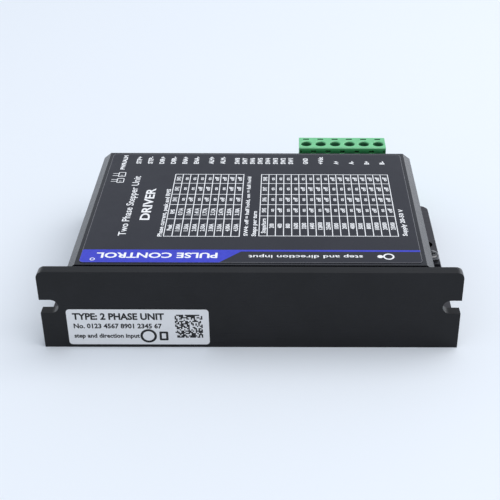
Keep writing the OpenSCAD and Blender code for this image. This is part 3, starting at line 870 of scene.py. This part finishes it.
def block_pattern(black):
    """A square of random blocks, the same in every run."""
    rng = random.Random(20)
    side = 19
    share = 0.55
    left, low = -21.5, 3.45
    width, height = 7.8 / side, 8.0 / side
    gap = 0.002
    for i in range(side):
        for j in range(side):
            if rng.random() < share:
                x, y = left + i * width, low + j * height
                black.box(x + gap, y + gap, x + width - gap, y + height - gap, INK)


def switch_print():
    """Numbers under the switches and a word above them, on the housing's outer face."""
    marks = Print("switch_print")
    for i in range(8):
        x = -11.27 + SWITCH_PITCH * i
        marks.text(str(i + 1), (x - 0.4, 10.2), 0.8, 1.15, 0.0, 0.010, 3)
    marks.text("ON", (-12.6, 17.6), 2.0, 1.1, 0.0, 0.012, 3)
    return marks


def all_print():
    """Every printed sheet, placed just inside the face that carries it."""
    sink = 0.002 * MM
    white = ink("white_label_ink", (0.86, 0.87, 0.89), (0.93, 0.94, 0.96))
    blue = ink("blue_label_ink", (0.030, 0.041, 0.498), (0.037, 0.049, 0.556), 0.42)
    black = ink("black_label_ink", (0.005, 0.005, 0.006), (0.010, 0.010, 0.011))
    pale = ink("pale_outline_ink", (0.20, 0.20, 0.22), (0.26, 0.26, 0.28))
    low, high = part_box("top_label")
    on_film = Matrix.Translation((0, 0, high.z - sink))
    corners = [(v.x / MM, v.y / MM) for v in (low, high)]
    top_print().finish(white, "printed_film", on_film)
    top_frame(*corners).finish(pale, "printed_film", on_film)
    stripe().finish(blue, "printed_film", on_film)
    stripe_words().finish(white, "printed_film", on_film)
    stand = Matrix.Rotation(QUARTER, 4, "X")
    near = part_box("rating_label")[0].y + sink
    rating_print().finish(black, "silver_film", Matrix.Translation((0, near, 0)) @ stand)
    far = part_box("switch_housing")[1].y - sink
    face = Matrix.Translation((0, far, 0)) @ Matrix.Rotation(math.pi, 4, "Z") @ stand
    switch_print().finish(white, "switch_plastic", face)


# ---------------------------------------------------------------- stage, light and camera


def stage_floor():
    """Plain pale floor that carries on past every view."""
    bm = bmesh.new()
    bmesh.ops.create_grid(bm, x_segments=8, y_segments=8, size=6.0)
    floor = bpy.data.objects.new("floor", mesh_from(bm, "floor"))
    bpy.context.scene.collection.objects.link(floor)
    finish = Finish("pale_floor", Specular_IOR_Level=0.1)
    finish.shader.inputs["Roughness"].default_value = 0.9
    drift = finish.noise(5.0, 3.0, 0.5)
    finish.drive("Base Color", finish.mix(drift, (0.785, 0.825, 0.880), (0.800, 0.840, 0.895)))
    floor.data.materials.append(finish.material)


def area_light(name, place, aim, size, power, colour):
    """A rectangular light at a place, turned towards its aim; metres and watts."""
    data = bpy.data.lights.new(name, "AREA")
    data.shape = "RECTANGLE"
    data.size, data.size_y = size
    data.energy = power
    data.color = colour
    light = bpy.data.objects.new(name, data)
    light.location = place
    light.rotation_euler = (Vector(aim) - Vector(place)).to_track_quat("-Z", "Y").to_euler()
    bpy.context.scene.collection.objects.link(light)


def light_scene():
    """Even pale surroundings, a big light above on the right and three weak ones."""
    world = bpy.data.worlds.new("studio")
    world.use_nodes = True
    background = world.node_tree.nodes["Background"]
    background.inputs["Color"].default_value = (0.86, 0.92, 1.0, 1.0)
    background.inputs["Strength"].default_value = 0.70
    bpy.context.scene.world = world
    cool = (0.95, 0.97, 1.0)
    area_light("right_softbox", (0.50, 0.02, 1.02), (0, 0, 0), (1.2, 1.2), 8.8, (1.0, 0.985, 0.97))
    area_light("right_card", (0.90, 1.55, 0.24), (0, 0, 0.02), (1.2, 0.46), 2.6, cool)
    area_light("left_card", (-0.90, 1.55, 0.24), (0, 0, 0.02), (1.0, 0.46), 1.8, cool)
    area_light("front_fill", (-0.50, -0.80, 0.20), (0, 0, 0.01), (0.4, 0.3), 0.3, (0.90, 0.95, 1.0))


def make_camera():
    """View from the flange's side and a little above, with the sensor shifted to its framing; metres."""
    data = bpy.data.cameras.new("camera")
    data.sensor_width = 36.0
    data.lens = 72.745
    data.shift_x = -0.0860
    data.shift_y = -0.0425
    data.clip_start = 0.01
    data.dof.use_dof = False
    camera = bpy.data.objects.new("camera", data)
    camera.location = (0.00956, -0.26980, 0.17719)
    camera.rotation_euler = [math.radians(a) for a in (59.324, -0.358, -0.301)]
    bpy.context.scene.collection.objects.link(camera)
    bpy.context.scene.camera = camera


make_camera()
dress_all()
case_screws()
all_print()
stage_floor()
light_scene()
bpy.context.scene.view_settings.view_transform = "Standard"
